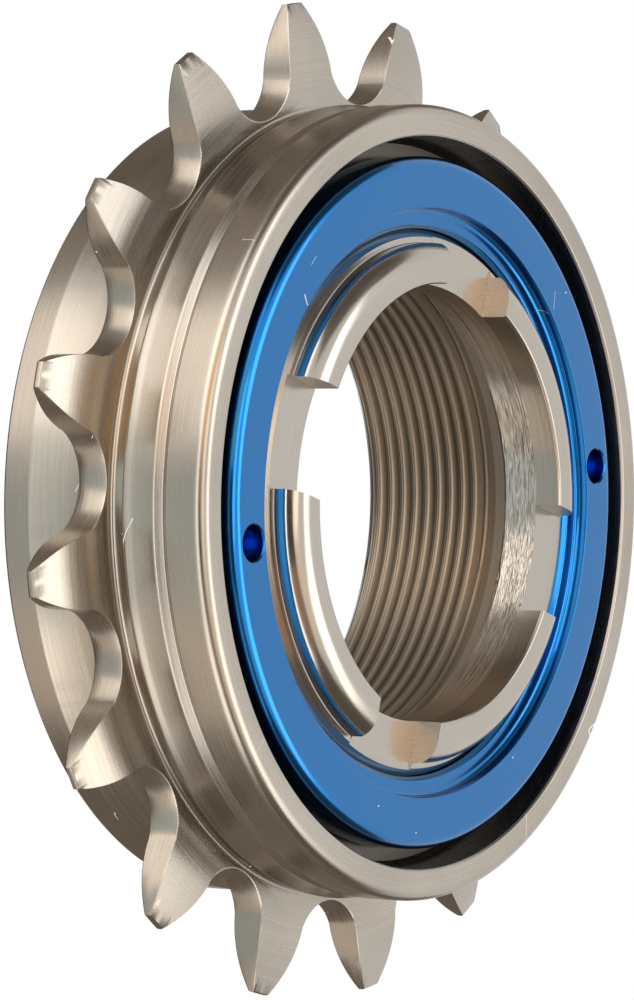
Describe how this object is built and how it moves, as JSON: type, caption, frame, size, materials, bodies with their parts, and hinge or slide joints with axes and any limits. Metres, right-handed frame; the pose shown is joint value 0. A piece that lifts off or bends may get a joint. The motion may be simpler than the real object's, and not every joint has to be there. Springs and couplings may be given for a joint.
{
  "type": "single speed freewheel",
  "caption": "Toothed sprocket shell turning on a thin cartridge bearing round a threaded, notched inner body, with pawls that drive one way and a blue lock ring.",
  "frame": {"origin": "on the axle's line, at the rear face that seats on the hub", "axes": "+Z along the axle, outboard, towards the lock ring; +X passes a pin hole within 8 degrees"},
  "size_m": [0.071, 0.071, 0.0184],
  "materials": {
    "nickel": "satin nickel plate over turned and milled steel",
    "body_steel": "nickel plated steel with turning marks",
    "blue_anodised": "fine satin, anodised blue",
    "bearing_steel": "ground and polished",
    "cage_nylon": "moulded, off-white",
    "seal_rubber": "matt black",
    "pawl_steel": "hardened, dark satin",
    "spring_steel": "bright rolled strip"
  },
  "bodies": {
    "inner": {"inner_body": "body_steel", "lock_ring": "blue_anodised", "bearing_inner_race": "bearing_steel", "rear_dust_seal": "seal_rubber", "pawl_spring_1": "spring_steel", "pawl_spring_2": "spring_steel", "pawl_spring_3": "spring_steel"},
    "shell": {"sprocket_shell": "nickel", "bearing_outer_race": "bearing_steel", "bearing_seal_rear": "seal_rubber", "bearing_seal_front": "seal_rubber"},
    "cage": {"bearing_cage": "cage_nylon", "bearing_ball_01": "bearing_steel", "bearing_ball_02": "bearing_steel", "bearing_ball_03": "bearing_steel", "bearing_ball_04": "bearing_steel", "bearing_ball_05": "bearing_steel", "bearing_ball_06": "bearing_steel", "bearing_ball_07": "bearing_steel", "bearing_ball_08": "bearing_steel", "bearing_ball_09": "bearing_steel", "bearing_ball_10": "bearing_steel", "bearing_ball_11": "bearing_steel", "bearing_ball_12": "bearing_steel", "bearing_ball_13": "bearing_steel", "bearing_ball_14": "bearing_steel", "bearing_ball_15": "bearing_steel", "bearing_ball_16": "bearing_steel", "bearing_ball_17": "bearing_steel", "bearing_ball_18": "bearing_steel"},
    "pawl_1": {"pawl_1": "pawl_steel"},
    "pawl_2": {"pawl_2": "pawl_steel"},
    "pawl_3": {"pawl_3": "pawl_steel"}
  },
  "joints": [
    {"name": "shell_spin", "type": "hinge", "parent": "inner", "child": "shell", "pos_m": [0, 0, 0.0105], "axis": [0, 0, 1], "continuous": true},
    {"name": "cage_spin", "type": "hinge", "parent": "inner", "child": "cage", "pos_m": [0, 0, 0.0105], "axis": [0, 0, 1], "continuous": true},
    {"name": "pawl_1_swing", "type": "hinge", "parent": "inner", "child": "pawl_1", "pos_m": [0.01871, 0.0108, 0.0045], "axis": [0, 0, -1], "range_deg": [0, 9.47]},
    {"name": "pawl_2_swing", "type": "hinge", "parent": "inner", "child": "pawl_2", "pos_m": [-0.01871, 0.0108, 0.0045], "axis": [0, 0, -1], "range_deg": [0, 9.47]},
    {"name": "pawl_3_swing", "type": "hinge", "parent": "inner", "child": "pawl_3", "pos_m": [0, -0.0216, 0.0045], "axis": [0, 0, -1], "range_deg": [0, 9.47]}
  ],
  "couplings": [
    {"joint": "cage_spin", "follows": "shell_spin", "ratio": 0.538}
  ]
}
